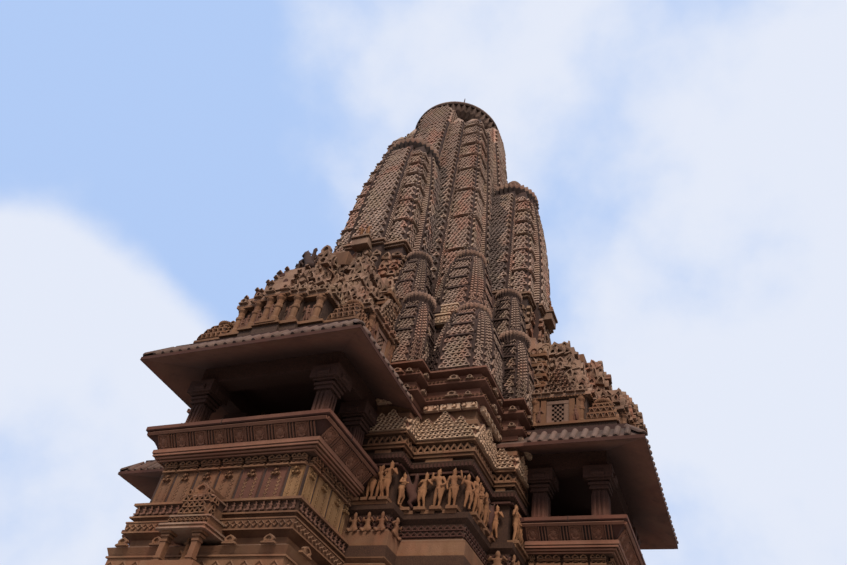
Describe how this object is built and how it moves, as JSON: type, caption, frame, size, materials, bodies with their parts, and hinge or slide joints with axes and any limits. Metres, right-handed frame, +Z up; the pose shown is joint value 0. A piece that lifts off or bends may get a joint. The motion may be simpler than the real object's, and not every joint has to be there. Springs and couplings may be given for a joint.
{
  "type": "hindu temple tower",
  "caption": "Stone temple tower on a moulded plinth, with a curved spire, clustered half spires and spirelets, canopied balconies, and an entrance porch with steps.",
  "frame": {"origin": "on the tower's vertical axis, on the flat underside of the plinth, at ground level", "axes": "+Z up; -Y towards the front balcony, +X towards the right balcony, +Y towards the porch and its steps"},
  "size_m": [15.12, 20.19, 28.85],
  "materials": {
    "sandstone": "warm brown sandstone, tooled and carved, matt",
    "red_sandstone": "red-brown sandstone, tooled, matt",
    "weathered_sandstone": "brown sandstone darkened by weather, carved all over, matt"
  },
  "bodies": {
    "root": {"plinth": "sandstone", "hall_floor": "sandstone", "corner_wall_front_right": "sandstone", "corner_wall_back_right": "sandstone", "corner_wall_back_left": "sandstone", "corner_wall_front_left": "sandstone", "cornice_course": "red_sandstone", "corner_spirelets_front_right": "weathered_sandstone", "corner_spirelets_back_right": "weathered_sandstone", "corner_spirelets_back_left": "weathered_sandstone", "corner_spirelets_front_left": "weathered_sandstone", "balcony_base_front": "sandstone", "balcony_rail_front": "red_sandstone", "colonnade_front": "sandstone", "eave_front": "red_sandstone", "arm_roof_front": "sandstone", "half_spire_front": "weathered_sandstone", "flank_spirelets_front_a": "weathered_sandstone", "flank_spirelets_front_b": "weathered_sandstone", "balcony_base_right": "sandstone", "balcony_rail_right": "red_sandstone", "colonnade_right": "sandstone", "eave_right": "red_sandstone", "arm_roof_right": "sandstone", "half_spire_right": "weathered_sandstone", "flank_spirelets_right_a": "weathered_sandstone", "flank_spirelets_right_b": "weathered_sandstone", "porch_side_left": "red_sandstone", "porch_side_right": "red_sandstone", "porch_steps": "sandstone", "colonnade_back": "sandstone", "eave_back": "red_sandstone", "arm_roof_back": "sandstone", "half_spire_back": "weathered_sandstone", "flank_spirelets_back_a": "weathered_sandstone", "flank_spirelets_back_b": "weathered_sandstone", "balcony_base_left": "sandstone", "balcony_rail_left": "red_sandstone", "colonnade_left": "sandstone", "eave_left": "red_sandstone", "arm_roof_left": "sandstone", "half_spire_left": "weathered_sandstone", "flank_spirelets_left_a": "weathered_sandstone", "flank_spirelets_left_b": "weathered_sandstone", "main_spire": "weathered_sandstone", "crown": "weathered_sandstone", "finial": "weathered_sandstone"}
  },
  "joints": []
}
